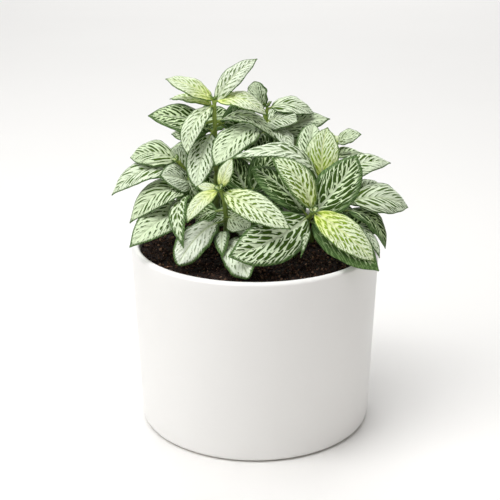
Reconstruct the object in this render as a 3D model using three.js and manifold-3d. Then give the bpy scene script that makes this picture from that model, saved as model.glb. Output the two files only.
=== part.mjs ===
// A nerve plant in a white glazed planter, at its real size in millimetres, +Z up.
// The origin is the middle of the pot's flat foot, and the surface that the pot stands on is z = 0.
// The pot holds a plug of potting soil. Leafy shoots stand in holes in the soil.
// Each shoot is one solid: its stem, its leaf stalks and its leaves.
import * as THREE from "three";
import { mergeVertices } from "three/addons/utils/BufferGeometryUtils.js";
import Module from "manifold-3d";

const wasm = await Module();
wasm.setup();

// The pot: a nearly straight round wall on a flat foot, with a rounded lip.
const POT_HEIGHT = 98;
const RIM_RADIUS = 65;
const FOOT_RADIUS = 61.6;
const FOOT_EDGE = 3.5;
const WALL = 4.2;
const LIP_EDGE = 1.8;
const POT_FLOOR = 6;
const POT_SIDES = 48;
const EDGE_STEPS = 2;

// The soil stands a little under the lip and is slightly higher in the middle.
// Its shoulder is at a share of its radius, where it has a share of its rise.
const GAP = 0.3;
const SOIL_EDGE_HEIGHT = 94.5;
const SOIL_CROWN = 1.2;
const SHOULDER = 0.6;
const SHOULDER_RISE = 0.8;

// A shoot's stem is round, and its foot is sunk in a hole in the soil, cut along a share of the stem.
const STEM_RADIUS = 1.5;
const STEM_SIDES = 6;
const STEM_STEPS = 5;
const HOLE_STEPS = 2;
const HOLE_SHARE = 0.4;
const STEM_DEPTH = 19;
const STEM_BEND = 0.45;
const SOIL_LEVEL = 95;

// A leaf is one sheet: a narrow thick stalk that starts inside the stem, and a wide thin blade.
// Older leaves have longer stalks.
const STALK_WIDTH = 1.6;
const STALK_THICKNESS = 1.5;
const YOUNG_STALK = 1.5;
const STALK_GROWTH = 4;

// A blade: an egg-shaped outline with a pointed tip, arched on both sides of the midrib.
// Its edge is waved.
const BLADE_THICKNESS = 0.7;
const ROW_LENGTH = 7;
const MOST_ROWS = 6;
const BLADE_COLUMNS = 4;
const BASE_POWER = 0.68;
const TIP_POWER = 0.85;
const OLD_AGE = 0.8;
const OLD_ROUNDING = 0.4;
const TIP_WIDTH = 0.5;
const FOLD = 0.45;
const WAVE_HEIGHT = 0.5;
const WAVES = 2.5;

// The shoots. foot: where the stem leaves the soil. top: its growing tip. lean: the way the top faces.
// Each leaf: [how far up the stem, x, y, z of the leaf's tip, arch, sway, width, turn, age].
// Arch and sway are shares of the leaf's length, up and to the side. Turn is in degrees about its length.
// Age is 0 for a young leaf and 1 for an old one. On a real shoot the leaves sit in opposite pairs.
const SHOOTS = {
  shoot_tall_left: {
    foot: [-20, 4],
    top: [-21, 8, 170],
    lean: [0, -0.2, 1],
    leaves: [
      [1.0, -46, 12, 181, 0.1, 0, 13, -15, 0],
      [1.0, 6, 2, 164, 0.22, 0, 13, 15, 0],
      [0.98, 1, 14, 191, 0.18, 0, 11, 30, 0.1],
      [0.98, -34, -12, 147, 0.1, 0.1, 12, 0, 0.1],
      [0.8, -55, 6, 163, 0.14, 0, 19, -25, 0.4],
      [0.86, 11, 4, 150, 0.28, 0, 12, 5, 0.3],
      [0.96, -45, 24, 168, 0.12, 0, 12, 0, 0.2],
      [0.84, 0, 30, 162, 0.12, 0, 14, 60, 0.5],
      [0.83, -29, -20, 131, 0.06, 0.04, 16, 5, 0.8],
      [0.55, -31, -1, 141, 0.1, 0, 14, -45, 0.6],
      [0.4, -46, 10, 109, 0.14, 0, 17, -25, 0.7],
      [0.88, -40, 14, 152, 0.1, 0, 17, -60, 0.6],
      [0.88, -8, 16, 145, 0.1, 0, 15, 0, 0.6],
    ],
  },
  shoot_left: {
    foot: [-34, -6],
    top: [-39, -6, 142],
    lean: [-0.5, -0.45, 0.75],
    leaves: [
      [0.97, -64, -2, 143, 0.24, 0, 17, 0, 0.4],
      [0.85, -73, -12, 126, 0.24, 0, 18, 0, 0.5],
      [0.66, -63, -24, 115, 0.28, 0, 17, -20, 0.4],
      [0.52, -62, -38, 107, 0.14, 0, 20, -30, 0.6],
      [0.72, -48, -18, 138, 0.12, 0, 17, -65, 0.6],
      [0.85, -28, -12, 122, 0.15, 0, 17, 0, 0.5],
      [0.8, -43, 14, 144, 0.2, 0, 12, 0, 0.4],
      [0.45, -63, 6, 106, 0.2, 0, 17, 0, 0.7],
      [0.6, -35, -42, 108, 0.25, 0, 11, 0, 0.7],
    ],
  },
  shoot_front_left: {
    foot: [-19, -24],
    top: [-17, -30, 134],
    lean: [-0.2, -0.7, 0.7],
    leaves: [
      [1.0, -11, -28, 150, 0.1, 0, 8, 0, 0],
      [1.0, -33, -42, 121, 0.1, 0.08, 9, 0, 0],
      [0.97, 17, -52, 121, 0.08, 0, 15, 0, 0.1],
      [0.95, -29, -26, 135, 0.12, 0, 6, 0, 0],
      [0.58, -38, -42, 99, 0.2, 0.03, 16, -5, 1],
      [0.7, -30, -14, 112, 0.2, 0, 14, 0, 0.5],
      [0.47, -16, -43, 103.5, 0.2, 0, 8, 0, 0.8],
      [0.34, -3, -57, 97.8, 0.16, -0.09, 17, 10, 1],
      [0.62, -2, -34, 116, 0.12, 0, 14, 0, 0.6],
    ],
  },
  shoot_front_right: {
    foot: [14, -16],
    top: [28, -34, 124],
    lean: [0.15, -0.75, 0.65],
    leaves: [
      [1.0, 8, -25, 149, 0.16, 0.07, 15, 0, 0],
      [1.0, 58, -48, 103, 0.1, 0, 17, 0, 0],
      [0.9, 50, -22, 150, 0.07, 0.07, 22, -8, 0.3],
      [0.95, -13, -54, 108, 0.04, -0.06, 24, -10, 0.4],
      [0.82, 60, -50, 99, 0.08, 0, 20, 0, 0.4],
      [0.85, -2, -12, 141, 0.15, 0, 17, 0, 0.5],
      [0.6, 22, -50, 106, 0.3, 0, 4, 0, 0.6],
    ],
  },
  shoot_right: {
    foot: [28, 6],
    top: [35, -6, 132],
    lean: [0.15, -0.5, 0.85],
    leaves: [
      [1.0, 37, 2, 158, 0.08, -0.04, 18, -28, 0],
      [1.0, 40, -12, 135, 0.1, 0, 4, 0, 0],
      [0.95, 31, 17, 157, 0.12, -0.12, 17, 0, 0.6],
      [0.8, 71, 10, 137, 0.26, 0, 15, 0, 0.4],
      [0.7, -13, -20, 147, 0.34, 0, 15, 10, 0.5],
      [0.5, 52, 8, 112, 0.2, 0, 17, 0, 0.7],
      [0.6, -6, 10, 122, 0.2, 0, 16, 0, 0.7],
    ],
  },
  shoot_back_middle: {
    foot: [6, 22],
    top: [6, 22, 163],
    lean: [0.1, -0.1, 1],
    leaves: [
      [0.93, -0.5, 26, 177, 0.06, 0, 12, -80, 0.95],
      [1.0, 31, 24, 160, 0.18, 0, 15, 20, 0.2],
      [0.9, 22, 10, 159, 0.12, 0, 17, 30, 0.4],
      [0.72, 40, 30, 156, 0.22, 0, 16, 30, 0.4],
      [0.88, -20, -18, 143, 0.14, 0, 20, 0, 0.9],
      [0.85, 19, 2, 145, 0.2, 0, 12, 0, 0.7],
      [0.85, -2, 4, 141, 0.15, 0, 17, 0, 0.7],
      [0.62, 16, 0, 132, 0.15, 0, 16, 0, 0.6],
      [0.5, -18, 28, 120, 0.2, 0, 17, 0, 0.7],
      [0.92, 25, 33, 156, 0.08, 0, 14, 60, 0.6],
    ],
  },
  shoot_middle: {
    foot: [3, -10],
    top: [-3, -14, 126],
    lean: [0, -0.5, 0.85],
    leaves: [
      [0.75, -25, -12, 111, 0.15, 0, 12, -10, 0.7],
      [1.0, 13, -2, 148, 0.1, 0, 17, 0, 0.5],
      [1.0, -17, 0, 144, 0.1, 0, 17, 0, 0.5],
      [0.75, 14, -28, 123, 0.15, 0, 16, 0, 0.5],
      [0.5, -8, -30, 110, 0.12, 0, 13, 0, 0.8],
    ],
  },
  shoot_far_right: {
    foot: [42, -2],
    top: [47, -8, 121],
    lean: [0.6, -0.3, 0.75],
    leaves: [
      [1.0, 79, -4, 117, 0.2, 0, 19, 15, 0.4],
      [0.85, 67, -14, 98, 0.26, 0, 18, 0, 0.5],
      [0.6, 62, -34, 100, 0.2, 0, 10, 0, 0.5],
      [0.9, 70, 20, 118, 0.2, 0, 16, 0, 0.5],
      [0.45, 68, 12, 102, 0.2, 0, 16, 0, 0.7],
    ],
  },
  shoot_back_right: {
    foot: [36, 24],
    top: [42, 24, 143],
    lean: [0.4, 0.2, 0.9],
    leaves: [
      [1.0, 56, 20, 150, 0.16, 0, 10, 65, 0.4],
      [1.0, 40, 54, 134, 0.2, 0, 16, 0, 0.3],
      [0.85, 64, 40, 128, 0.2, 0, 17, 0, 0.4],
      [0.85, 14, 52, 132, 0.2, 0, 17, 0, 0.4],
      [0.6, 56, 62, 112, 0.2, 0, 18, 0, 0.6],
      [0.5, 64, 26, 106, 0.2, 0, 18, 0, 0.7],
      [0.45, 34, 48, 103, 0.2, 0, 17, 0, 0.8],
    ],
  },
  shoot_back_left: {
    foot: [-28, 24],
    top: [-34, 30, 150],
    lean: [-0.3, 0.3, 0.9],
    leaves: [
      [1.0, -46, 50, 151, 0.2, 0, 14, 0, 0.2],
      [1.0, -13, 36, 158, 0.1, 0, 20, 55, 0.5],
      [0.85, -40, 62, 138, 0.2, 0, 18, 0, 0.4],
      [0.7, -66, 24, 128, 0.2, 0, 18, 0, 0.4],
      [0.6, -18, 62, 120, 0.2, 0, 18, 0, 0.6],
      [0.95, -46, 8, 138, 0.05, 0, 16, 0, 0.6],
      [0.6, -54, 50, 108, 0.2, 0, 18, 0, 0.6],
      [0.75, -13, 13, 106, 0.08, 0, 17, 55, 0.6],
      [0.4, -26, 48, 98, 0.2, 0, 18, 0, 0.8],
      [0.5, -59, 28, 106, 0.2, 0, 18, 0, 0.7],
    ],
  },
  shoot_back: {
    foot: [2, 38],
    top: [4, 46, 138],
    lean: [0, 0.6, 0.8],
    leaves: [
      [1.0, -16, 60, 146, 0.2, 0, 16, 0, 0.2],
      [1.0, 18, 50, 160, 0.1, 0, 16, 90, 0.2],
      [0.85, 2, 78, 120, 0.2, 0, 18, 0, 0.4],
      [0.6, 22, 80, 104, 0.2, 0, 18, 0, 0.6],
      [0.75, -26, 66, 110, 0.25, 0, 18, 0, 0.6],
      [0.45, -20, 50, 99, 0.2, 0, 18, 0, 0.8],
      [0.5, 26, 40, 112, 0.2, 0, 17, 0, 0.7],
      [0.35, 6, 66, 98, 0.2, 0, 18, 0, 0.8],
    ],
  },
};

// Points nearer than this are one point.
const MERGE = 1e-4;

// The finishes of the sub-parts.
const GLAZE_FINISH = { color: 0xf2f1ef, roughness: 0.35, metalness: 0 };
const SOIL_FINISH = { color: 0x2a1d17, roughness: 0.95, metalness: 0 };
const LEAF_FINISH = { color: 0x9cc08a, roughness: 0.6, metalness: 0 };

function vector(values) {
  return new THREE.Vector3(...values);
}

// A closed geometry as a solid that can be cut and joined.
function solid(geometry) {
  const bare = geometry.clone();
  bare.deleteAttribute("normal");
  bare.deleteAttribute("uv");
  const merged = mergeVertices(bare, MERGE);
  return new wasm.Manifold(
    new wasm.Mesh({
      numProp: 3,
      vertProperties: new Float32Array(merged.attributes.position.array),
      triVerts: new Uint32Array(merged.index.array),
    }),
  );
}

function namedMesh(name, made, finish) {
  const { vertProperties, triVerts } = made.getMesh();
  const geometry = new THREE.BufferGeometry();
  geometry.setAttribute("position", new THREE.BufferAttribute(vertProperties, 3));
  geometry.setIndex(new THREE.BufferAttribute(triVerts, 1));
  geometry.computeVertexNormals();
  const mesh = new THREE.Mesh(geometry, new THREE.MeshStandardMaterial(finish));
  mesh.name = name;
  return mesh;
}

// A turned body from [radius, height] pairs. The lathe turns about Y, so it is stood up to turn about Z.
function turned(profile, sides) {
  const points = profile.map(([radius, height]) => new THREE.Vector2(radius, height));
  return new THREE.LatheGeometry(points, sides).rotateX(Math.PI / 2);
}

// A round rod along a curve.
function rod(curve, radius, sides, steps) {
  const section = new THREE.Shape();
  for (let i = 0; i < sides; i++) {
    const angle = (2 * Math.PI * i) / sides;
    const x = radius * Math.cos(angle);
    const y = radius * Math.sin(angle);
    if (i === 0) section.moveTo(x, y);
    else section.lineTo(x, y);
  }
  return new THREE.ExtrudeGeometry(section, { steps, extrudePath: curve });
}

// Points on a rounded edge from one angle to another, in degrees.
function roundedEdge(centreRadius, centreHeight, radius, from, to) {
  return Array.from({ length: EDGE_STEPS + 1 }, (_, i) => {
    const angle = THREE.MathUtils.degToRad(from + ((to - from) * i) / EDGE_STEPS);
    return [centreRadius + radius * Math.cos(angle), centreHeight + radius * Math.sin(angle)];
  });
}

function outerRadius(height) {
  return THREE.MathUtils.lerp(FOOT_RADIUS, RIM_RADIUS, height / POT_HEIGHT);
}

function pot() {
  const inside = (height) => outerRadius(height) - WALL;
  const lipHeight = POT_HEIGHT - LIP_EDGE;
  return turned(
    [
      [0, 0],
      ...roundedEdge(outerRadius(FOOT_EDGE) - FOOT_EDGE, FOOT_EDGE, FOOT_EDGE, -90, 0),
      ...roundedEdge(RIM_RADIUS - LIP_EDGE, lipHeight, LIP_EDGE, 0, 90),
      ...roundedEdge(inside(lipHeight) + LIP_EDGE, lipHeight, LIP_EDGE, 90, 180),
      [inside(POT_FLOOR), POT_FLOOR],
      [0, POT_FLOOR],
    ],
    POT_SIDES,
  );
}

function soil(holes) {
  const bottom = POT_FLOOR + GAP;
  const edge = (height) => outerRadius(height) - WALL - GAP / Math.cos(Math.PI / POT_SIDES);
  const body = turned(
    [
      [0, bottom],
      [edge(bottom), bottom],
      [edge(SOIL_EDGE_HEIGHT), SOIL_EDGE_HEIGHT],
      [edge(SOIL_EDGE_HEIGHT) * SHOULDER, SOIL_EDGE_HEIGHT + SOIL_CROWN * SHOULDER_RISE],
      [0, SOIL_EDGE_HEIGHT + SOIL_CROWN],
    ],
    POT_SIDES,
  );
  return holes.reduce((left, hole) => left.subtract(solid(hole)), solid(body));
}

function stemCurve(shoot) {
  const foot = new THREE.Vector3(...shoot.foot, SOIL_LEVEL - STEM_DEPTH);
  const top = vector(shoot.top);
  const bend = vector(shoot.lean).normalize().multiplyScalar(-STEM_BEND * top.distanceTo(foot));
  return new THREE.QuadraticBezierCurve3(foot, bend.add(top), top);
}

// The blade's half width at a share of its length.
function halfWidth(along, width, age) {
  const rounding = (OLD_ROUNDING * Math.max(0, age - OLD_AGE)) / (1 - OLD_AGE);
  const tipPower = TIP_POWER - rounding;
  const widest = BASE_POWER / (BASE_POWER + tipPower);
  const shape = (share) => share ** BASE_POWER * (1 - share) ** tipPower;
  const least = THREE.MathUtils.lerp(STALK_WIDTH, TIP_WIDTH, along) / 2;
  return Math.max(least, (width / 2) * (shape(along) / shape(widest)));
}

// The leaf's middle line, from inside the stem to its tip, and the way that its face looks.
function leafLine(shoot, leaf) {
  const [up, x, y, z, arch, sway, , turn] = leaf;
  const start = stemCurve(shoot).getPoint(up);
  const tip = new THREE.Vector3(x, y, z);
  const length = tip.distanceTo(start);
  const along = tip.clone().sub(start).normalize();
  const face = vector(shoot.lean).normalize().projectOnPlane(along).normalize();
  face.applyAxisAngle(along, THREE.MathUtils.degToRad(turn));
  const side = new THREE.Vector3().crossVectors(along, face);
  const middle = start.clone().lerp(tip, 0.5);
  middle.addScaledVector(face, 2 * arch * length).addScaledVector(side, 2 * sway * length);
  return { curve: new THREE.QuadraticBezierCurve3(start, middle, tip), face, length };
}

// One row of points across a leaf, on its upper or lower face.
function leafRow(line, share, half, thickness, shape) {
  const tangent = line.curve.getTangent(share);
  const normal = line.face.clone().projectOnPlane(tangent).normalize();
  const side = new THREE.Vector3().crossVectors(tangent, normal);
  return Array.from({ length: BLADE_COLUMNS + 1 }, (_, j) => {
    const across = (2 * j) / BLADE_COLUMNS - 1;
    const point = line.curve.getPoint(share).addScaledVector(side, across * half);
    return point.addScaledVector(normal, shape(across) + thickness);
  });
}

// A thin closed leaf. Both faces have the same triangles, so they stay apart where it is waved.
function leafSolid(shoot, leaf, number) {
  const [, , , , , , width, , age] = leaf;
  const line = leafLine(shoot, leaf);
  const rows = Math.min(MOST_ROWS, Math.round(line.length / ROW_LENGTH));
  const stalk = (YOUNG_STALK + STALK_GROWTH * age) / line.length;
  const points = [];
  for (const face of [0.5, -0.5]) {
    points.push(...leafRow(line, 0, STALK_WIDTH / 2, face * STALK_THICKNESS, () => 0));
    for (let i = 0; i <= rows; i++) {
      const along = i / rows;
      const half = halfWidth(along, width, age);
      const thickness = i === 0 ? STALK_THICKNESS : BLADE_THICKNESS;
      const shape = (across) => {
        const out = Math.abs(across);
        const wave = Math.sin(2 * Math.PI * WAVES * along + number + across);
        return i === 0 ? 0 : FOLD * half * (out - out * out) + WAVE_HEIGHT * out * out * wave;
      };
      const share = stalk + (1 - stalk) * along;
      points.push(...leafRow(line, share, half, face * thickness, shape));
    }
  }
  const geometry = new THREE.BufferGeometry().setFromPoints(points);
  geometry.setIndex(sheetIndex(rows + 1, BLADE_COLUMNS));
  return solid(geometry);
}

// The triangles of a closed sheet: an upper grid, a lower grid with the same diagonals, and the rim between.
function sheetIndex(rows, columns) {
  const index = [];
  const lower = (rows + 1) * (columns + 1);
  const at = (i, j) => i * (columns + 1) + j;
  for (let i = 0; i < rows; i++) {
    for (let j = 0; j < columns; j++) {
      const [a, b, c, d] = [at(i, j), at(i + 1, j), at(i + 1, j + 1), at(i, j + 1)];
      index.push(a, c, b, a, d, c);
      index.push(lower + a, lower + b, lower + c, lower + a, lower + c, lower + d);
    }
  }
  const rim = [];
  for (let j = 0; j < columns; j++) rim.push(at(0, j));
  for (let i = 0; i < rows; i++) rim.push(at(i, columns));
  for (let j = columns; j > 0; j--) rim.push(at(rows, j));
  for (let i = rows; i > 0; i--) rim.push(at(i, 0));
  rim.forEach((a, k) => {
    const b = rim[(k + 1) % rim.length];
    index.push(a, lower + b, b, a, lower + a, lower + b);
  });
  return index;
}

function leafyStem(shoot) {
  const stem = solid(rod(stemCurve(shoot), STEM_RADIUS, STEM_SIDES, STEM_STEPS));
  return shoot.leaves.reduce((made, leaf, number) => made.add(leafSolid(shoot, leaf, number)), stem);
}

// A plain hole around a stem's foot, a little wider and deeper than the stem.
function stemHole(shoot) {
  const curve = stemCurve(shoot);
  const below = curve.getPoint(0).addScaledVector(curve.getTangent(0), -GAP);
  const points = [below, curve.getPoint(HOLE_SHARE / 2), curve.getPoint(HOLE_SHARE)];
  return rod(new THREE.CatmullRomCurve3(points), STEM_RADIUS + 2 * GAP, STEM_SIDES, HOLE_STEPS);
}

const plant = new THREE.Group();
plant.add(namedMesh("pot", solid(pot()), GLAZE_FINISH));
plant.add(namedMesh("soil", soil(Object.values(SHOOTS).map(stemHole)), SOIL_FINISH));
for (const [name, shoot] of Object.entries(SHOOTS)) {
  plant.add(namedMesh(name, leafyStem(shoot), LEAF_FINISH));
}

export default plant;
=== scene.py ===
"""A potted nerve plant: a white planter, potting soil and shoots with netted leaves. Metres, +Z up."""

import math

import bpy
import numpy as np
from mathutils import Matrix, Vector


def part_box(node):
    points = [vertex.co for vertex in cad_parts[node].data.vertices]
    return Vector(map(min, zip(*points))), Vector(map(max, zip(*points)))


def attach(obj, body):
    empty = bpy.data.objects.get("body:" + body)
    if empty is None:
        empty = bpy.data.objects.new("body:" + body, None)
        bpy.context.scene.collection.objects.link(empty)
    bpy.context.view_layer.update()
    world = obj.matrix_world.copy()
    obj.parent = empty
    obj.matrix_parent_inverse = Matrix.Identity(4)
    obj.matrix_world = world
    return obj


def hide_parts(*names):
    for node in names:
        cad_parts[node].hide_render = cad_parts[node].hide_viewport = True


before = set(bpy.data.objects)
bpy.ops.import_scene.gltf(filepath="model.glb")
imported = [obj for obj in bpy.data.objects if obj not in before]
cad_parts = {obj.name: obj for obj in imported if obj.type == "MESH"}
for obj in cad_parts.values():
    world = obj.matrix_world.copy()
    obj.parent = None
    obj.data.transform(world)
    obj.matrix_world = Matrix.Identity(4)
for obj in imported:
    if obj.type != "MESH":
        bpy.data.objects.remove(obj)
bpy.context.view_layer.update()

# The planter
# A round pot of smooth stoneware with a satin white glaze, on a flat foot that is left bare.
# It is turned: a ring is drawn out from the foot, up the wall, over the lip and down to the floor inside.
POT_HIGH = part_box("pot")[1]
RIM_RADIUS = POT_HIGH.x
POT_HEIGHT = POT_HIGH.z
FOOT_RADIUS = 0.0616
FOOT_EDGE = 0.0035
WALL = 0.0042
LIP_EDGE = 0.0018
POT_FLOOR = 0.006
POT_SEGMENTS = 160
EDGE_STEPS = 7
WALL_STEPS = 12
FLOOR_STEPS = 6


def colour(red, green, blue):
    """A colour as seen on a screen, from 0 to 255, as the linear colour that a shader takes."""
    shares = [part / 255 for part in (red, green, blue)]
    linear = [s / 12.92 if s < 0.0405 else ((s + 0.055) / 1.055) ** 2.4 for s in shares]
    return (*linear, 1.0)


def new_material(name):
    """A material with an empty tree, its principled shader and its output."""
    material = bpy.data.materials.new(name)
    material.use_nodes = True
    tree = material.node_tree
    tree.nodes.clear()
    shader = tree.nodes.new("ShaderNodeBsdfPrincipled")
    output = tree.nodes.new("ShaderNodeOutputMaterial")
    tree.links.new(shader.outputs["BSDF"], output.inputs["Surface"])
    return material, tree, shader


def add(tree, kind, inputs, **settings):
    """A node with its settings. An input is a number, a colour or another node's output."""
    made = tree.nodes.new("ShaderNode" + kind)
    for name, value in settings.items():
        setattr(made, name, value)
    for key, value in inputs.items():
        if isinstance(value, bpy.types.NodeSocket):
            tree.links.new(value, made.inputs[key])
        else:
            made.inputs[key].default_value = value
    return made


def math_node(tree, operation, *values):
    return add(tree, "Math", dict(enumerate(values)), operation=operation).outputs[0]


def smooth_step(tree, value, low, high, start=0.0, end=1.0):
    inputs = {"Value": value, "From Min": low, "From Max": high, "To Min": start, "To Max": end}
    return add(tree, "MapRange", inputs, interpolation_type="SMOOTHSTEP").outputs[0]


def blend_colours(tree, share, first, second):
    inputs = {"Factor": share, 6: first, 7: second}
    return add(tree, "Mix", inputs, data_type="RGBA").outputs[2]


def object_place(tree):
    return add(tree, "TexCoord", {}).outputs["Object"]


def noise(tree, place, scale, detail=3.0):
    return add(tree, "TexNoise", {"Vector": place, "Scale": scale, "Detail": detail}).outputs["Fac"]


def bump(tree, height, distance, strength=1.0):
    inputs = {"Height": height, "Distance": distance, "Strength": strength}
    return add(tree, "Bump", inputs).outputs["Normal"]


def glaze_material():
    material, tree, shader = new_material("satin_white_glaze")
    place = object_place(tree)
    cloud = noise(tree, place, 18.0)
    white = blend_colours(tree, cloud, colour(243, 242, 240), colour(248, 247, 245))
    height = add(tree, "SeparateXYZ", {"Vector": place}).outputs["Z"]
    bare = smooth_step(tree, height, 0.0002, 0.0006, 1.0, 0.0)
    tree.links.new(blend_colours(tree, bare, white, colour(222, 212, 198)), shader.inputs["Base Color"])
    smear = smooth_step(tree, noise(tree, place, 45.0), 0.3, 0.7, 0.3, 0.4)
    rough = add(tree, "Mix", {"Factor": bare, 2: smear, 3: 0.85}).outputs[0]
    tree.links.new(rough, shader.inputs["Roughness"])
    skin = math_node(tree, "ADD", noise(tree, place, 900.0), math_node(tree, "MULTIPLY", cloud, 4.0))
    tree.links.new(bump(tree, skin, 0.00004, 0.6), shader.inputs["Normal"])
    shader.inputs["Specular IOR Level"].default_value = 0.45
    return material


def outer_radius(height):
    return FOOT_RADIUS + (RIM_RADIUS - FOOT_RADIUS) * height / POT_HEIGHT


def rounded_edge(centre_radius, centre_height, radius, start, end):
    """Points on a rounded edge, from one angle to another, in degrees."""
    angles = [math.radians(start + (end - start) * i / EDGE_STEPS) for i in range(EDGE_STEPS + 1)]
    return [(centre_radius + radius * math.cos(a), centre_height + radius * math.sin(a)) for a in angles]


def straight(start, end, steps):
    """Points between two ends, without the ends."""
    shares = [i / steps for i in range(1, steps)]
    return [tuple(a + (b - a) * s for a, b in zip(start, end)) for s in shares]


def pot_profile():
    """The wall's section, from the foot's edge, over the lip, to the middle of the floor inside."""
    lip_height = POT_HEIGHT - LIP_EDGE
    foot = rounded_edge(outer_radius(FOOT_EDGE) - FOOT_EDGE, FOOT_EDGE, FOOT_EDGE, -90, 0)
    lip = rounded_edge(RIM_RADIUS - LIP_EDGE, lip_height, LIP_EDGE, 0, 90)
    inner = rounded_edge(outer_radius(lip_height) - WALL + LIP_EDGE, lip_height, LIP_EDGE, 90, 180)
    corner = (outer_radius(POT_FLOOR) - WALL, POT_FLOOR)
    down = straight(inner[-1], corner, WALL_STEPS)
    floor = straight(corner, (0.0, POT_FLOOR), FLOOR_STEPS)
    return [*foot, *straight(foot[-1], lip[0], WALL_STEPS), *lip, *inner, *down, corner, *floor]


def turned(name, profile, segments):
    """A ring drawn out along a profile of (radius, height), flat at its start and closed at its end."""
    bpy.ops.object.select_all(action="DESELECT")
    radius, height = profile[0]
    bpy.ops.mesh.primitive_circle_add(
        vertices=segments, radius=radius, location=(0, 0, 0), fill_type="TRIFAN"
    )
    piece = bpy.context.object
    piece.name = piece.data.name = name
    bpy.ops.object.mode_set(mode="EDIT")
    bpy.ops.mesh.select_all(action="SELECT")
    bpy.ops.transform.translate(value=(0, 0, height))
    bpy.ops.mesh.flip_normals()
    bpy.ops.mesh.region_to_loop()
    for next_radius, next_height in profile[1:]:
        bpy.ops.mesh.extrude_edges_move(TRANSFORM_OT_translate={"value": (0, 0, next_height - height)})
        share = next_radius / radius
        bpy.ops.transform.resize(value=(share, share, 1), center_override=(0, 0, next_height))
        radius, height = next_radius, next_height
    bpy.ops.mesh.merge(type="CENTER")
    bpy.ops.mesh.select_all(action="SELECT")
    bpy.ops.mesh.remove_doubles(threshold=0.00001)
    bpy.ops.mesh.normals_make_consistent(inside=False)
    bpy.ops.object.mode_set(mode="OBJECT")
    return piece


planter = turned("planter", pot_profile(), POT_SEGMENTS)
bpy.ops.object.shade_smooth_by_angle(angle=math.radians(50))
planter.data.materials.append(glaze_material())
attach(planter, "root")
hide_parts("pot")

# The soil
# Dark peaty potting soil, a little under the lip: a lumpy bed with loose crumbs all over it.
# The bed is turned and then pushed up and down by noise. Crumbs of a few shapes are scattered over it.
SOIL_LOW, SOIL_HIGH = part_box("soil")
SOIL_RADIUS = SOIL_HIGH.x
SOIL_EDGE_HEIGHT = 0.0945
SOIL_CROWN = 0.0012
BED_DROP = 0.0006
BED_GAP = 0.0003
BED_FOOT_GAP = 0.0008
BED_MIDDLE = 0.0004
SOIL_RINGS = 64
SOIL_SEGMENTS = 200
LUMP_SIZE = 0.0042
LUMP_HEIGHT = 0.0021
CRUMBS = 9000
CRUMB_SIZE = 0.0005
CRUMB_SHAPES = 5
CRUMB_MARGIN = 0.0012


def soil_material():
    material, tree, shader = new_material("damp_potting_soil")
    place = object_place(tree)
    tone = add(tree, "Attribute", {}, attribute_name="tone").outputs["Fac"]
    fibres = noise(tree, place, 1400.0, 5.0)
    share = math_node(tree, "MULTIPLY", math_node(tree, "ADD", tone, fibres), 0.62)
    ramp = add(tree, "ValToRGB", {"Fac": share})
    stops = ramp.color_ramp.elements
    stops[0].position, stops[0].color = 0.2, colour(14, 8, 6)
    stops[1].position, stops[1].color = 1.0, colour(156, 124, 100)
    stops.new(0.5).color = colour(44, 28, 21)
    stops.new(0.8).color = colour(98, 70, 54)
    tree.links.new(ramp.outputs["Color"], shader.inputs["Base Color"])
    tree.links.new(smooth_step(tree, fibres, 0.3, 0.7, 0.75, 1.0), shader.inputs["Roughness"])
    tree.links.new(bump(tree, fibres, 0.0003), shader.inputs["Normal"])
    shader.inputs["Specular IOR Level"].default_value = 0.25
    return material


def soil_height(radius):
    """The bed is slightly higher in the middle, and lower than the frame's soil by half its lumps."""
    return SOIL_EDGE_HEIGHT - BED_DROP + SOIL_CROWN * (1 - (radius / SOIL_RADIUS) ** 2)


def soil_bed():
    """A plug with a lumpy top. Its rim stays smooth, where it meets the pot."""
    bottom = (outer_radius(SOIL_LOW.z) - WALL - BED_FOOT_GAP, SOIL_LOW.z)
    edge = (SOIL_RADIUS - BED_GAP, soil_height(SOIL_RADIUS))
    top = [(r, soil_height(r)) for r in np.linspace(edge[0], BED_MIDDLE, SOIL_RINGS)]
    bed = turned("soil_bed", [bottom, edge, *top[1:]], SOIL_SEGMENTS)
    lumps = bpy.data.textures.new("soil_lumps", "CLOUDS")
    lumps.noise_scale = LUMP_SIZE
    lumps.noise_depth = 4
    surface = bed.vertex_groups.new(name="surface")
    low, wide = edge[1] - 0.0001, edge[0] - 0.0005
    high = [v.index for v in bed.data.vertices if v.co.z > low and v.co.xy.length < wide]
    surface.add(high, 1.0, "REPLACE")
    push = bed.modifiers.new("lumps", "DISPLACE")
    push.texture = lumps
    push.texture_coords = "LOCAL"
    push.direction = "Z"
    push.strength = LUMP_HEIGHT
    push.mid_level = 0.5
    push.vertex_group = surface.name
    bpy.ops.object.modifier_apply(modifier=push.name)
    bpy.ops.object.shade_smooth()
    return bed


def crumb_shapes():
    """A few angular crumbs, one unit in radius, each as its vertices and faces."""
    shapes = []
    for number in range(CRUMB_SHAPES):
        bpy.ops.object.select_all(action="DESELECT")
        bpy.ops.mesh.primitive_ico_sphere_add(subdivisions=1, radius=1.0, location=(0, 0, 0))
        crumb = bpy.context.object
        bpy.ops.object.mode_set(mode="EDIT")
        bpy.ops.mesh.select_all(action="SELECT")
        bpy.ops.transform.vertex_random(offset=0.45, seed=number + 3)
        bpy.ops.object.mode_set(mode="OBJECT")
        mesh = crumb.data
        places = np.array([v.co for v in mesh.vertices])
        shapes.append((places, np.array([p.vertices[:] for p in mesh.polygons])))
        bpy.data.objects.remove(crumb)
    return shapes


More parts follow.
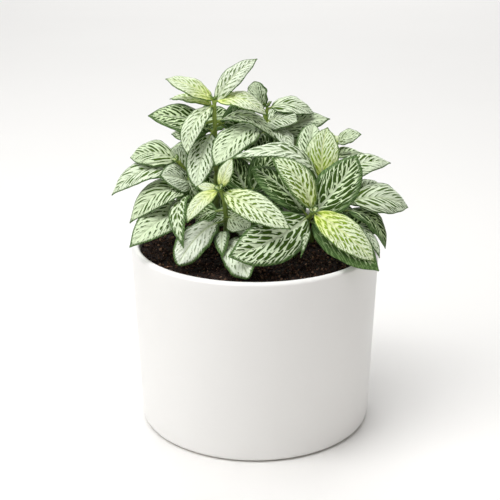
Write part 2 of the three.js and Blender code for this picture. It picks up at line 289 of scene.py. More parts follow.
def crumbs():
    """Crumbs of many sizes, most of them fine, lying half sunk over the bed."""
    draw = np.random.default_rng(7)
    shapes = crumb_shapes()
    places, faces, tones, count = [], [], [], 0
    for number in range(CRUMBS):
        shape, shape_faces = shapes[number % CRUMB_SHAPES]
        size = CRUMB_SIZE * (0.7 + 1.6 * draw.random() ** 4)
        radius = (SOIL_RADIUS - CRUMB_MARGIN) * math.sqrt(draw.random())
        angle = 2 * math.pi * draw.random()
        spin = np.linalg.qr(draw.normal(size=(3, 3)))[0]
        spin *= np.sign(np.linalg.det(spin))
        lift = LUMP_HEIGHT * 0.15 * draw.normal() + size * 0.35
        middle = (radius * math.cos(angle), radius * math.sin(angle), soil_height(radius) + lift)
        places.append(shape * [1.0, 0.8, 0.7] @ spin * size + middle)
        faces.append(shape_faces + count)
        tones.append(np.full(len(shape), draw.random() ** 1.6))
        count += len(shape)
    mesh = bpy.data.meshes.new("soil_crumbs")
    mesh.from_pydata(np.concatenate(places).tolist(), [], np.concatenate(faces).tolist())
    mesh.attributes.new("tone", "FLOAT", "POINT").data.foreach_set("value", np.concatenate(tones))
    piece = bpy.data.objects.new("soil_crumbs", mesh)
    bpy.context.collection.objects.link(piece)
    return piece


soil_look = soil_material()
for piece in (soil_bed(), crumbs()):
    piece.data.materials.append(soil_look)
    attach(piece, "root")
    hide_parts("soil")

# The shoots
# Upright shoots of the nerve plant: a soft green stem, pairs of leaves on short stalks and a bud on top.
# Each leaf is a grid, shaped as the frame's leaf is and then thickened. Stems and ribs are round curves.
# Sizes and places are in millimetres here, and MM turns them into metres.
MM = 0.001
SOIL_LEVEL = 95
STEM_DEPTH = 19
STEM_BEND = 0.45
STEM_RADIUS = 1.45
STEM_START = 0.06
STEM_POINTS = 48
STEM_THINNING = 0.3
JOINT_LENGTH = 0.012
JOINT_SWELL = 0.18
STALK_WIDTH = 1.6
YOUNG_STALK = 1.5
STALK_GROWTH = 4
BASE_POWER = 0.68
TIP_POWER = 0.85
OLD_AGE = 0.8
OLD_ROUNDING = 0.4
OLD_RUFFLE = 1.6
TIP_WIDTH = 0.5
FOLD = 0.45
WAVE_HEIGHT = 0.35
WAVES = 2.5
RIPPLE_HEIGHT = 0.08
RIPPLES = 7.75
QUILT_HEIGHT = 0.3
GROOVE_DEPTH = 0.25
GROOVE_WIDTH = 0.8
EDGE_WANDER = 0.012
DRIP_TIP = 0.45
DRIP_START = 0.84
STALK_RADIUS = 0.72
RIB_RADIUS = 0.62
RIB_MARK = 0.22
RIB_END = 0.93
RIB_POINTS = 20
FULL_LENGTH = 32
FULL_WIDTH = 16
BLADE_ROWS = 46
BLADE_COLUMNS = 24
BLADE_THICKNESS = 0.42

# How a leaf is marked. The shade look, and the dark look on leaves inside the plant, are painted shade.
# white: half the width of a pale vein, as a share of the space between side veins.
# heart: how much whiter the leaf is along its middle. lime: how young and yellow its green is.
# depth: how strong its green is. columns: the side veins on each side. rows: the meshes from rib to edge.
# margin: the width of the green edge in millimetres.
LOOK_PARTS = ("white", "heart", "lime", "depth", "columns", "rows", "margin")
LOOKS = {
    "faint": (0.28, 0.08, 1, 0.6, 11.5, 4.4, 0.5),
    "soft": (0.23, 0.07, 0.9, 0.8, 10.5, 4, 0.45),
    "lime": (0.2, 0.06, 1, 1, 10, 4.4, 0.5),
    "fresh": (0.21, 0.07, 0.42, 1, 10.5, 4.4, 0.5),
    "bold": (0.16, 0.06, 0.5, 1, 9, 4, 0.9),
    "mint": (0.24, 0.08, 0.12, 0.9, 10, 3.4, 0.45),
    "net": (0.2, 0.08, 0.04, 0.95, 10, 3, 0.5),
    "streaked": (0.2, 0.1, 0.08, 1, 10, 1.7, 0.5),
    "deep": (0.13, 0.06, 0, 1, 9, 3.6, 1.3),
    "fleck": (0.22, 0.2, 0.04, 1, 10.5, 4, 0.8),
    "edged": (0.15, 0.1, 0.08, 1, 9, 3.4, 1.1),
    "white": (0.33, 0.2, 0.06, 0.8, 11, 4, 0.6),
    "old": (0.3, 0.16, 0.1, 0.8, 10, 4, 1.3),
    # dark: deep green with thin veins. It is the front leaves' own colour, and painted shade on leaves
    # inside the plant. shade: darker still, painted shade for leaves inside the plant.
    "dark": (0.09, 0.05, 0, 1, 8.4, 3, 1.9),
    "shade": (0.06, 0.03, 0, 1, 8.4, 3, 2.2),
    "rimmed": (0.09, 0.05, 0.1, 1, 9, 3, 3.2),
}

# foot: where the stem leaves the soil. top: its growing tip. lean: the way the top faces.
# Each leaf: how far up the stem, x, y, z of its tip, arch, sway, width, turn, age and how it is marked,
# where the shade look is painted shade.
SHOOTS = {
    "shoot_tall_left": {
        "foot": [-20, 4], "top": [-21, 8, 170], "lean": [0, -0.2, 1],
        "leaves": [
            [1.0, -46, 12, 181, 0.1, 0, 13, -15, 0, "soft"],
            [1.0, 6, 2, 164, 0.22, 0, 13, 15, 0, "soft"],
            [0.98, 1, 14, 191, 0.18, 0, 11, 30, 0.1, "mint"],
            [0.98, -34, -12, 147, 0.1, 0.1, 12, 0, 0.1, "mint"],
            [0.8, -55, 6, 163, 0.14, 0, 19, -25, 0.4, "deep"],
            [0.86, 11, 4, 150, 0.28, 0, 12, 5, 0.3, "net"],
            [0.96, -45, 24, 168, 0.12, 0, 12, 0, 0.2, "lime"],
            [0.84, 0, 30, 162, 0.12, 0, 14, 60, 0.5, "shade"],
            [0.83, -29, -20, 131, 0.06, 0.04, 16, 5, 0.8, "fleck"],
            [0.55, -31, -1, 141, 0.1, 0, 14, -45, 0.6, "net"],
            [0.4, -46, 10, 109, 0.14, 0, 17, -25, 0.7, "shade"],
            [0.88, -40, 14, 152, 0.1, 0, 17, -60, 0.6, "shade"],
            [0.88, -8, 16, 145, 0.1, 0, 15, 0, 0.6, "dark"],
        ],
    },
    "shoot_left": {
        "foot": [-34, -6], "top": [-39, -6, 142], "lean": [-0.5, -0.45, 0.75],
        "leaves": [
            [0.97, -64, -2, 143, 0.24, 0, 17, 0, 0.4, "streaked"],
            [0.85, -73, -12, 126, 0.24, 0, 18, 0, 0.5, "streaked"],
            [0.66, -63, -24, 115, 0.28, 0, 17, -20, 0.4, "streaked"],
            [0.52, -62, -38, 107, 0.14, 0, 20, -30, 0.6, "fleck"],
            [0.72, -48, -18, 138, 0.12, 0, 17, -65, 0.6, "fleck"],
            [0.85, -28, -12, 122, 0.15, 0, 17, 0, 0.5, "shade"],
            [0.8, -43, 14, 144, 0.2, 0, 12, 0, 0.4, "net"],
            [0.45, -63, 6, 106, 0.2, 0, 17, 0, 0.7, "shade"],
            [0.6, -35, -42, 108, 0.25, 0, 11, 0, 0.7, "edged"],
        ],
    },
    "shoot_front_left": {
        "foot": [-19, -24], "top": [-17, -30, 134], "lean": [-0.2, -0.7, 0.7],
        "leaves": [
            [1.0, -11, -28, 150, 0.1, 0, 8, 0, 0, "faint"],
            [1.0, -33, -42, 121, 0.1, 0.08, 9, 0, 0, "faint"],
            [0.97, 17, -52, 121, 0.08, 0, 15, 0, 0.1, "fresh"],
            [0.95, -29, -26, 135, 0.12, 0, 6, 0, 0, "faint"],
            [0.58, -38, -42, 99, 0.2, 0.03, 16, -5, 1, "old"],
            [0.7, -30, -14, 112, 0.2, 0, 14, 0, 0.5, "dark"],
            [0.47, -16, -43, 103.5, 0.2, 0, 8, 0, 0.8, "old"],
            [0.34, -3, -57, 97.8, 0.16, -0.09, 17, 10, 1, "old"],
            [0.62, -2, -34, 116, 0.12, 0, 14, 0, 0.6, "mint"],
        ],
    },
    "shoot_front_right": {
        "foot": [14, -16], "top": [28, -34, 124], "lean": [0.15, -0.75, 0.65],
        "leaves": [
            [1.0, 8, -25, 149, 0.16, 0.07, 15, 0, 0, "bold"],
            [1.0, 58, -48, 103, 0.1, 0, 17, 0, 0, "lime"],
            [0.9, 50, -22, 150, 0.07, 0.07, 22, -8, 0.3, "dark"],
            [0.95, -13, -54, 108, 0.04, -0.06, 24, -10, 0.4, "deep"],
            [0.82, 60, -50, 99, 0.08, 0, 20, 0, 0.4, "rimmed"],
            [0.85, -2, -12, 141, 0.15, 0, 17, 0, 0.5, "shade"],
            [0.6, 22, -50, 106, 0.3, 0, 4, 0, 0.6, "net"],
        ],
    },
    "shoot_right": {
        "foot": [28, 6], "top": [35, -6, 132], "lean": [0.15, -0.5, 0.85],
        "leaves": [
            [1.0, 37, 2, 158, 0.08, -0.04, 18, -28, 0, "lime"],
            [1.0, 40, -12, 135, 0.1, 0, 4, 0, 0, "lime"],
            [0.95, 31, 17, 157, 0.12, -0.12, 17, 0, 0.6, "fleck"],
            [0.8, 71, 10, 137, 0.26, 0, 15, 0, 0.4, "streaked"],
            [0.7, -13, -20, 147, 0.34, 0, 15, 10, 0.5, "net"],
            [0.5, 52, 8, 112, 0.2, 0, 17, 0, 0.7, "shade"],
            [0.6, -6, 10, 122, 0.2, 0, 16, 0, 0.7, "shade"],
        ],
    },
    "shoot_back_middle": {
        "foot": [6, 22], "top": [6, 22, 163], "lean": [0.1, -0.1, 1],
        "leaves": [
            [0.93, -0.5, 26, 177, 0.06, 0, 12, -80, 0.95, "fleck"],
            [1.0, 31, 24, 160, 0.18, 0, 15, 20, 0.2, "streaked"],
            [0.9, 22, 10, 159, 0.12, 0, 17, 30, 0.4, "streaked"],
            [0.72, 40, 30, 156, 0.22, 0, 16, 30, 0.4, "fleck"],
            [0.88, -20, -18, 143, 0.14, 0, 20, 0, 0.9, "fleck"],
            [0.85, 19, 2, 145, 0.2, 0, 12, 0, 0.7, "mint"],
            [0.85, -2, 4, 141, 0.15, 0, 17, 0, 0.7, "dark"],
            [0.62, 16, 0, 132, 0.15, 0, 16, 0, 0.6, "shade"],
            [0.5, -18, 28, 120, 0.2, 0, 17, 0, 0.7, "shade"],
            [0.92, 25, 33, 156, 0.08, 0, 14, 60, 0.6, "shade"],
        ],
    },
    "shoot_middle": {
        "foot": [3, -10], "top": [-3, -14, 126], "lean": [0, -0.5, 0.85],
        "leaves": [
            [0.75, -25, -12, 111, 0.15, 0, 12, -10, 0.7, "edged"],
            [1.0, 13, -2, 148, 0.1, 0, 17, 0, 0.5, "shade"],
            [1.0, -17, 0, 144, 0.1, 0, 17, 0, 0.5, "dark"],
            [0.75, 14, -28, 123, 0.15, 0, 16, 0, 0.5, "shade"],
            [0.5, -8, -30, 110, 0.12, 0, 13, 0, 0.8, "white"],
        ],
    },
    "shoot_far_right": {
        "foot": [42, -2], "top": [47, -8, 121], "lean": [0.6, -0.3, 0.75],
        "leaves": [
            [1.0, 79, -4, 117, 0.2, 0, 19, 15, 0.4, "streaked"],
            [0.85, 67, -14, 98, 0.26, 0, 18, 0, 0.5, "dark"],
            [0.6, 62, -34, 100, 0.2, 0, 10, 0, 0.5, "net"],
            [0.9, 70, 20, 118, 0.2, 0, 16, 0, 0.5, "net"],
            [0.45, 68, 12, 102, 0.2, 0, 16, 0, 0.7, "shade"],
        ],
    },
    "shoot_back_right": {
        "foot": [36, 24], "top": [42, 24, 143], "lean": [0.4, 0.2, 0.9],
        "leaves": [
            [1.0, 56, 20, 150, 0.16, 0, 10, 65, 0.4, "mint"],
            [1.0, 40, 54, 134, 0.2, 0, 16, 0, 0.3, "fresh"],
            [0.85, 64, 40, 128, 0.2, 0, 17, 0, 0.4, "net"],
            [0.85, 14, 52, 132, 0.2, 0, 17, 0, 0.4, "mint"],
            [0.6, 56, 62, 112, 0.2, 0, 18, 0, 0.6, "net"],
            [0.5, 64, 26, 106, 0.2, 0, 18, 0, 0.7, "dark"],
            [0.45, 34, 48, 103, 0.2, 0, 17, 0, 0.8, "dark"],
        ],
    },
    "shoot_back_left": {
        "foot": [-28, 24], "top": [-34, 30, 150], "lean": [-0.3, 0.3, 0.9],
        "leaves": [
            [1.0, -46, 50, 151, 0.2, 0, 14, 0, 0.2, "fresh"],
            [1.0, -13, 36, 158, 0.1, 0, 20, 55, 0.5, "dark"],
            [0.85, -40, 62, 138, 0.2, 0, 18, 0, 0.4, "net"],
            [0.7, -66, 24, 128, 0.2, 0, 18, 0, 0.4, "mint"],
            [0.6, -18, 62, 120, 0.2, 0, 18, 0, 0.6, "net"],
            [0.95, -46, 8, 138, 0.05, 0, 16, 0, 0.6, "net"],
            [0.6, -54, 50, 108, 0.2, 0, 18, 0, 0.6, "dark"],
            [0.75, -13, 13, 106, 0.08, 0, 17, 55, 0.6, "shade"],
            [0.4, -26, 48, 98, 0.2, 0, 18, 0, 0.8, "dark"],
            [0.5, -59, 28, 106, 0.2, 0, 18, 0, 0.7, "dark"],
        ],
    },
    "shoot_back": {
        "foot": [2, 38], "top": [4, 46, 138], "lean": [0, 0.6, 0.8],
        "leaves": [
            [1.0, -16, 60, 146, 0.2, 0, 16, 0, 0.2, "fresh"],
            [1.0, 18, 50, 160, 0.1, 0, 16, 90, 0.2, "net"],
            [0.85, 2, 78, 120, 0.2, 0, 18, 0, 0.4, "mint"],
            [0.6, 22, 80, 104, 0.2, 0, 18, 0, 0.6, "net"],
            [0.75, -26, 66, 110, 0.25, 0, 18, 0, 0.6, "net"],
            [0.45, -20, 50, 99, 0.2, 0, 18, 0, 0.8, "dark"],
            [0.5, 26, 40, 112, 0.2, 0, 17, 0, 0.7, "dark"],
            [0.35, 6, 66, 98, 0.2, 0, 18, 0, 0.8, "dark"],
        ],
    },
}


def attribute(tree, name):
    return add(tree, "Attribute", {}, attribute_name=name).outputs["Fac"]


def wandering(tree, place, scale, reach):
    """A place moved about a little by noise, so that the lines drawn from it aren't straight."""
    cloud = add(tree, "TexNoise", {"Vector": place, "Scale": scale, "Detail": 2.0}).outputs["Color"]
    centred = add(tree, "VectorMath", {0: cloud, 1: (0.5, 0.5, 0.5)}, operation="SUBTRACT").outputs[0]
    moved = add(tree, "VectorMath", {0: centred, 1: (reach, reach, 0)}, operation="MULTIPLY").outputs[0]
    return add(tree, "VectorMath", {0: place, 1: moved}, operation="ADD").outputs[0]


def vein_distance(tree, evenness):
    """The distance from the nearest vein of the net, where 0.5 is midway between two side veins.

    The side veins are the whole numbers of the first coordinate. Short veins cross between them at places
    drawn for each pair, and near the leaf's edge each side vein forks.
    """
    place = wandering(tree, add(tree, "UVMap", {}, uv_map="Veins").outputs[0], 1.2, evenness)
    parts = add(tree, "SeparateXYZ", {"Vector": place}).outputs
    column, row = parts["X"], parts["Y"]
    beside = math_node(tree, "PINGPONG", column, 0.5)
    space, side = math_node(tree, "FLOOR", column), math_node(tree, "SIGN", row)
    pair = add(tree, "CombineXYZ", {"X": space, "Y": side}).outputs[0]
    chance = add(tree, "TexWhiteNoise", {"Vector": pair}, noise_dimensions="2D").outputs["Value"]
    steps = math_node(tree, "MULTIPLY_ADD", chance, 3.0, math_node(tree, "ABSOLUTE", row))
    crossing = math_node(tree, "PINGPONG", math_node(tree, "MULTIPLY_ADD", beside, 0.9, steps), 0.5)
    net = math_node(tree, "SMOOTH_MIN", beside, math_node(tree, "MULTIPLY", crossing, 1.9), 0.24)
    forked = smooth_step(tree, attribute(tree, "out"), 0.5, 0.78, 0.5, 0.0)
    middle = math_node(tree, "MULTIPLY", math_node(tree, "SUBTRACT", 0.5, beside), 1.5)
    fork = math_node(tree, "ADD", middle, forked)
    return math_node(tree, "SMOOTH_MIN", net, fork, 0.08), column


def leaf_top_material():
    """The upper face: pale veins in a net over green, a pale midrib and a frayed green edge."""
    material, tree, shader = new_material("netted_leaf_top")
    veins = add(tree, "UVMap", {}, uv_map="Veins").outputs[0]
    lime, white, depth = (attribute(tree, name) for name in ("lime", "white", "depth"))
    tone, along = attribute(tree, "tone"), attribute(tree, "along")
    gap, column = vein_distance(tree, 1.0)
    patchy = noise(tree, veins, 1.7)
    half_vein = math_node(tree, "MULTIPLY_ADD", patchy, 0.2, math_node(tree, "SUBTRACT", white, 0.11))
    start, end = (math_node(tree, "ADD", half_vein, soft) for soft in (-0.035, 0.045))
    mesh = smooth_step(tree, gap, start, end)
    beside_rib = smooth_step(tree, attribute(tree, "rib"), 0.8, 1.3)
    mesh = math_node(tree, "MULTIPLY", math_node(tree, "MULTIPLY", mesh, depth), beside_rib)
    teeth = math_node(tree, "PINGPONG", math_node(tree, "MULTIPLY", column, 3.0), 0.5)
    fray = math_node(tree, "ADD", math_node(tree, "MULTIPLY", teeth, 1.1), noise(tree, veins, 3.0))
    fray = math_node(tree, "MULTIPLY_ADD", math_node(tree, "SUBTRACT", 0.5, gap), 0.9, fray)
    edge = math_node(tree, "ADD", attribute(tree, "margin"), fray)
    edging = smooth_step(tree, edge, 1.9, 2.6, 1.0, 0.0)
    green_share = math_node(tree, "MAXIMUM", mesh, edging)
    deep = blend_colours(tree, tone, colour(76, 108, 30), colour(44, 70, 14))
    bright = blend_colours(tree, along, colour(158, 186, 44), colour(126, 160, 58))
    green = blend_colours(tree, lime, deep, bright)
    edge_green = blend_colours(tree, lime, colour(72, 102, 52), colour(96, 130, 54))
    veinlets = smooth_step(tree, gap, 0.02, 0.16, 0.45, 0.0)
    edge_green = blend_colours(tree, veinlets, edge_green, colour(152, 182, 118))
    green = blend_colours(tree, edging, green, edge_green)
    near_tip = smooth_step(tree, along, 0.0, 0.6)
    young = blend_colours(tree, near_tip, colour(226, 238, 126), colour(240, 252, 214))
    mature = blend_colours(tree, tone, colour(241, 249, 234), colour(206, 229, 172))
    pale = blend_colours(tree, lime, mature, young)
    rib = blend_colours(tree, lime, colour(200, 214, 180), colour(230, 240, 172))
    pale = blend_colours(tree, beside_rib, rib, pale)
    tree.links.new(blend_colours(tree, green_share, pale, green), shader.inputs["Base Color"])
    tree.links.new(smooth_step(tree, gap, 0.05, 0.4, 0.42, 0.52), shader.inputs["Roughness"])
    pillow = smooth_step(tree, gap, 0.0, 0.35)
    tree.links.new(bump(tree, pillow, 0.0006, 0.6), shader.inputs["Normal"])
    shader.inputs["Specular IOR Level"].default_value = 0.15
    return material


def leaf_back_material():
    """The lower face: dull grey-green, with the veins only a little paler."""
    material, tree, shader = new_material("netted_leaf_back")
    mesh = smooth_step(tree, vein_distance(tree, 0.6)[0], 0.05, 0.3)
    lime = attribute(tree, "lime")
    dull = blend_colours(tree, lime, colour(128, 150, 98), colour(162, 184, 104))
    pale = blend_colours(tree, lime, colour(182, 197, 154), colour(200, 214, 144))
    tree.links.new(blend_colours(tree, mesh, pale, dull), shader.inputs["Base Color"])
    tree.links.new(bump(tree, mesh, 0.0004, 0.5), shader.inputs["Normal"])
    shader.inputs["Roughness"].default_value = 0.6
    return material


def stem_material():
    """Soft green skin, a little streaked, yellower high up and darker near the soil: the darkening near
    the soil is painted shade.
    """
    material, tree, shader = new_material("green_stem")
    place = object_place(tree)
    stretched = add(tree, "Mapping", {"Vector": place, "Scale": (1.0, 1.0, 0.2)}).outputs[0]
    streaks = noise(tree, stretched, 900.0)
    # old is painted shade: the darker green of stems and stalks low in the plant, near the soil. young is
    # the yellower green high up.
    old = blend_colours(tree, streaks, colour(78, 102, 42), colour(122, 146, 72))
    young = blend_colours(tree, streaks, colour(134, 160, 58), colour(184, 204, 104))
    height = add(tree, "SeparateXYZ", {"Vector": place}).outputs["Z"]
    skin = blend_colours(tree, smooth_step(tree, height, 0.1, 0.15), old, young)
    tree.links.new(skin, shader.inputs["Base Color"])
    tree.links.new(bump(tree, streaks, 0.0002, 0.6), shader.inputs["Normal"])
    shader.inputs["Roughness"].default_value = 0.5
    return material


def unit(vectors):
    vectors = np.asarray(vectors, float)
    return vectors / np.linalg.norm(vectors, axis=-1, keepdims=True)


def curve_at(start, middle, end, share):
    """Points of a quadratic curve and the way that it runs there."""
    share = np.asarray(share, float)[..., None]
    point = (1 - share) ** 2 * start + 2 * share * (1 - share) * middle + share**2 * end
    return point, unit(2 * (1 - share) * (middle - start) + 2 * share * (end - middle))


def stem_at(shoot, share):
    foot = np.array([*shoot["foot"], SOIL_LEVEL - STEM_DEPTH], float)
    top = np.array(shoot["top"], float)
    bend = unit(shoot["lean"]) * STEM_BEND * np.linalg.norm(top - foot)
    return curve_at(foot, top - bend, top, share)[0]


def across_to(vector, along):
    """The part of a vector that stands square to a direction, one unit long."""
    return unit(vector - np.sum(vector * along, axis=-1, keepdims=True) * along)


def leaf_line(shoot, leaf):
    """The leaf's middle line, from inside the stem to its tip, and the way that its face looks."""
    up, x, y, z, arch, sway, _, turn, _, _ = leaf
    start = stem_at(shoot, up)
    tip = np.array([x, y, z], float)
    length = np.linalg.norm(tip - start)
    along = unit(tip - start)
    face = across_to(unit(shoot["lean"]), along)
    face = face * math.cos(math.radians(turn)) + np.cross(along, face) * math.sin(math.radians(turn))
    middle = (start + tip) / 2 + face * 2 * arch * length + np.cross(along, face) * 2 * sway * length
    return {"start": start, "middle": middle, "tip": tip, "face": face, "length": length}


def line_at(line, share):
    """Points on a leaf's line, with the way out of its face and the way to its side."""
    point, tangent = curve_at(line["start"], line["middle"], line["tip"], share)
    normal = across_to(line["face"], tangent)
    return point, normal, np.cross(tangent, normal)


def half_width(along, width, age):
    tip_power = TIP_POWER - OLD_ROUNDING * max(0, age - OLD_AGE) / (1 - OLD_AGE)
    widest = BASE_POWER / (BASE_POWER + tip_power)
    most = widest**BASE_POWER * (1 - widest) ** tip_power
    least = (STALK_WIDTH + (TIP_WIDTH - STALK_WIDTH) * along) / 2
    return np.maximum(least, width / 2 * along**BASE_POWER * (1 - along) ** tip_power / most)


def blade(name, shoot, leaf, number, draw, materials):
    """One leaf blade: a grid laid along the leaf's line, folded, waved and quilted, then thickened."""
    width, age = leaf[6], leaf[8]
    look = dict(zip(LOOK_PARTS, LOOKS[leaf[9]]))
    line = leaf_line(shoot, leaf)
    bpy.ops.object.select_all(action="DESELECT")
    bpy.ops.mesh.primitive_grid_add(x_subdivisions=BLADE_COLUMNS, y_subdivisions=BLADE_ROWS, size=2)
    piece = bpy.context.object
    piece.name = name
    mesh = piece.data
    flat = np.array([v.co for v in mesh.vertices])
    # across runs from one edge, -1, to the other, 1, and along from the stalk, 0, to the tip, 1.
    across, along = flat[:, 0], np.clip((flat[:, 1] + 1) / 2, 0, 1)
    out = np.abs(across)
    stalk = (YOUNG_STALK + STALK_GROWTH * age) / line["length"]
    drip = np.clip((along - DRIP_START) / (1 - DRIP_START), 0, 1) ** 1.5
    half = half_width(along, width, age) * (1 - DRIP_TIP * drip)
    reach = half * out
    # Leaves under full size have fewer veins. Side veins slant more towards the tip.
    columns = look["columns"] * min(1, math.sqrt(line["length"] / FULL_LENGTH))
    rows = look["rows"] * min(1, math.sqrt(width / FULL_WIDTH))
    column = columns * (along - (1.0 + 1.6 * along) * reach / line["length"])
    row = rows * (0.5 * out**1.3 + reach / width) * np.sign(across)
    wave = np.sin(2 * np.pi * WAVES * along + number + across)
    ripple = np.sin(2 * np.pi * RIPPLES * along + 2 * number + 3 * across)
    quilt = np.abs(np.sin(np.pi * column)) * (1 - out**4)
    ruffle = 1 + OLD_RUFFLE * max(0, age - OLD_AGE) / (1 - OLD_AGE)
    calm = ruffle * (1 - 0.7 * along**4)
    height = FOLD * half * (out - out**2) + out**2 * calm * (WAVE_HEIGHT * wave + RIPPLE_HEIGHT * ripple)
    height += QUILT_HEIGHT * quilt * np.clip(half / 6, 0, 1)
    height -= GROOVE_DEPTH * np.exp(-((reach / GROOVE_WIDTH) ** 2)) * np.clip(half / 4, 0, 1)
    height[along == 0] = 0
    point, normal, side = line_at(line, stalk + (1 - stalk) * along)
    edge = across * half * (1 + EDGE_WANDER * ruffle * out**4 * np.sin(23 * along + number))
    shaped = point + side * edge[:, None] + normal * height[:, None]
    mesh.vertices.foreach_set("co", (shaped * MM).ravel())
    paler = look["heart"] * np.exp(-((reach / (0.16 * width)) ** 2)) + 0.08 * along**2 - 0.03 * out**2
    values = {
        "along": along,
        "out": out,
        "rib": reach / (RIB_MARK + 0.5 * (1 - along) ** 1.3 * width / FULL_WIDTH),
        "margin": (1 - out) * half / look["margin"],
        "white": look["white"] + paler,
        "lime": look["lime"] * (1 - 0.35 * along),
        "depth": np.full(len(along), look["depth"]),
        "tone": np.full(len(along), 1 - look["white"] / 0.3 + 0.4 * draw.random()),
    }
    for key, value in values.items():
        mesh.attributes.new(key, "FLOAT", "POINT").data.foreach_set("value", value.astype(np.float32))
    layer = mesh.uv_layers[0]
    layer.name = "Veins"
    corner = np.zeros(len(mesh.loops), int)
    mesh.loops.foreach_get("vertex_index", corner)
    shift = 20 * draw.random(2)
    layer.data.foreach_set("uv", (np.stack([column, row], 1) + shift)[corner].ravel())
    for material in materials:
        mesh.materials.append(material)
    thicken = piece.modifiers.new("thickness", "SOLIDIFY")
    thicken.thickness = BLADE_THICKNESS * MM
    thicken.offset = 0
    thicken.material_offset = 1
    bpy.ops.object.modifier_apply(modifier=thicken.name)
    bpy.ops.object.shade_smooth()
    return piece


def rods(name, paths, material):
    """Round tapering rods along points in millimetres, each point with its radius, as one mesh."""
    curve = bpy.data.curves.new(name, "CURVE")
    curve.dimensions = "3D"
    curve.bevel_depth = MM
    curve.bevel_resolution = 3
    curve.use_fill_caps = True
    for points, radii in paths:
        spline = curve.splines.new("POLY")
        spline.points.add(len(points) - 1)
        spline.points.foreach_set("co", np.c_[points * MM, np.ones(len(points))].ravel())
        spline.points.foreach_set("radius", np.asarray(radii, float))
        spline.use_smooth = True
    piece = bpy.data.objects.new(name, curve)
    bpy.context.collection.objects.link(piece)
    bpy.ops.object.select_all(action="DESELECT")
    piece.select_set(True)
    bpy.context.view_layer.objects.active = piece
    bpy.ops.object.convert(target="MESH")
    piece = bpy.context.object
    piece.data.materials.clear()
    piece.data.materials.append(material)
    return piece


def stem_path(shoot):
    """The stem thins towards its tip, and swells a little at each pair of leaves."""
    share = np.linspace(STEM_START, 1, STEM_POINTS)
    joints = sorted({round(leaf[0], 1) for leaf in shoot["leaves"]})
    swell = sum(np.exp(-(((share - joint) / JOINT_LENGTH) ** 2)) for joint in joints)
    radius = STEM_RADIUS * (1 - STEM_THINNING * share) * (1 + JOINT_SWELL * np.minimum(swell, 1))
    return stem_at(shoot, share), radius


def rib_path(shoot, leaf):
    """The stalk, and the midrib that it becomes under the blade."""
    line = leaf_line(shoot, leaf)
    stalk = (YOUNG_STALK + STALK_GROWTH * leaf[8]) / line["length"]
    share = np.linspace(0, RIB_END, RIB_POINTS)
    point, normal, _ = line_at(line, share)
    under = np.clip((share - stalk) / 0.15, 0, 1)
    thinning = RIB_RADIUS * (1 - (share - stalk) / (1 - stalk)) ** 0.8
    radius = np.where(share < stalk, STALK_RADIUS - 0.1 * share / stalk, thinning)
    radius *= 0.65 + 0.35 * min(1, leaf[6] / 14)
    return point - normal * ((0.8 * radius + 0.3) * under)[:, None], radius


def bud_leaves(shoot):
    """Two small folded leaves at the growing tip."""
    top, lean = np.array(shoot["top"], float), unit(shoot["lean"])
    side = across_to(np.array([1.0, 0.3, 0.0]), lean)
    ends = [top + lean * 4.5 + side * 2.2, top + lean * 4.0 - side * 2.4]
    return [[1.0, *end, 0.12, 0, 3.2, 0, 0, "lime"] for end in ends]


leaf_skins = [leaf_top_material(), leaf_back_material()]
stem_skin = stem_material()
draw = np.random.default_rng(11)
for name, shoot in SHOOTS.items():
    leaves = shoot["leaves"] + bud_leaves(shoot)
    parts = [blade(f"{name}_leaf", shoot, leaf, i, draw, leaf_skins) for i, leaf in enumerate(leaves)]
    paths = [stem_path(shoot)] + [rib_path(shoot, leaf) for leaf in leaves]
    parts.append(rods(f"{name}_rods", paths, stem_skin))
    bpy.ops.object.select_all(action="DESELECT")
    for part in parts:
        part.select_set(True)
    bpy.context.view_layer.objects.active = parts[0]
    bpy.ops.object.join()
    leafy_stem = bpy.context.object
    leafy_stem.name = leafy_stem.data.name = name.replace("shoot", "leafy_stem")
    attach(leafy_stem, "root")
    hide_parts(name)

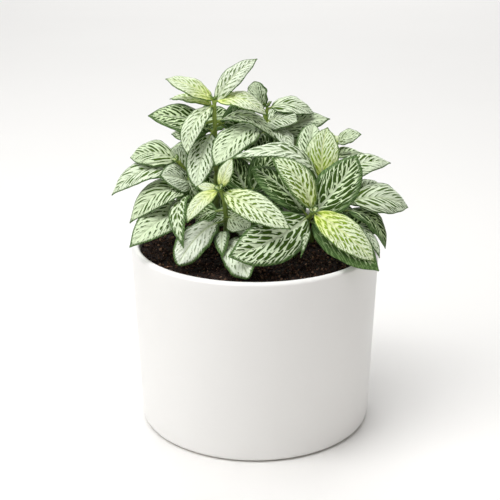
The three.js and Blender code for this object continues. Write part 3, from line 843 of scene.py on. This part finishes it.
# The studio
# A plain pale floor, a soft light from the upper left, weak warm light from the right, strong soft light
# from above and behind, and a white surround.
# The camera looks along +Y and 19.4 degrees down, a little beside the pot's axis.
CAMERA_DISTANCE = 0.6
CAMERA_ELEVATION = math.radians(19.4)
CAMERA_TARGET = Vector((0, 0, 0.0923))
CAMERA_LENS = 81.7
CAMERA_SHIFT = -0.0105
FLOOR_SIZE = 8.0
SURROUND_STRENGTH = 0.21


def floor_material():
    material, tree, shader = new_material("pale_floor")
    cloud = noise(tree, object_place(tree), 3.0)
    paper = blend_colours(tree, cloud, colour(234, 233, 231), colour(238, 237, 235))
    tree.links.new(paper, shader.inputs["Base Color"])
    shader.inputs["Roughness"].default_value = 0.7
    return material


def soft_light(name, place, size, power, tint):
    bpy.ops.object.light_add(type="AREA", location=place)
    light = bpy.context.object
    light.name = name
    light.data.size = size
    light.data.energy = power
    light.data.color = tint
    light.rotation_euler = (CAMERA_TARGET - Vector(place)).to_track_quat("-Z", "Y").to_euler()


bpy.ops.mesh.primitive_plane_add(size=FLOOR_SIZE, location=(0, 0, 0))
studio_floor = bpy.context.object
studio_floor.name = "studio_floor"
studio_floor.data.materials.append(floor_material())

soft_light("key_light", (-0.9, -0.5, 1.1), 1.0, 9.6, (1.0, 0.992, 0.98))
soft_light("fill_light", (1.1, -0.9, 0.7), 1.2, 1.1, (1.0, 0.86, 0.74))
soft_light("top_light", (-0.2, -0.2, 1.5), 1.0, 15.0, (1.0, 1.0, 1.0))
soft_light("back_light", (0.1, 2.4, 1.7), 2.4, 43.0, (1.0, 1.0, 1.0))

world = bpy.data.worlds.new("white_surround")
world.use_nodes = True
world.node_tree.nodes["Background"].inputs["Color"].default_value = (1.0, 1.0, 1.0, 1.0)
world.node_tree.nodes["Background"].inputs["Strength"].default_value = SURROUND_STRENGTH
bpy.context.scene.world = world
bpy.context.scene.view_settings.view_transform = "Standard"

back = Vector((0, -math.cos(CAMERA_ELEVATION), math.sin(CAMERA_ELEVATION)))
bpy.ops.object.camera_add(location=CAMERA_TARGET + back * CAMERA_DISTANCE)
camera = bpy.context.object
camera.rotation_euler = (math.pi / 2 - CAMERA_ELEVATION, 0, 0)
camera.data.lens = CAMERA_LENS
camera.data.sensor_width = 36
camera.data.shift_x = CAMERA_SHIFT
camera.data.clip_start = 0.01
bpy.context.scene.camera = camera
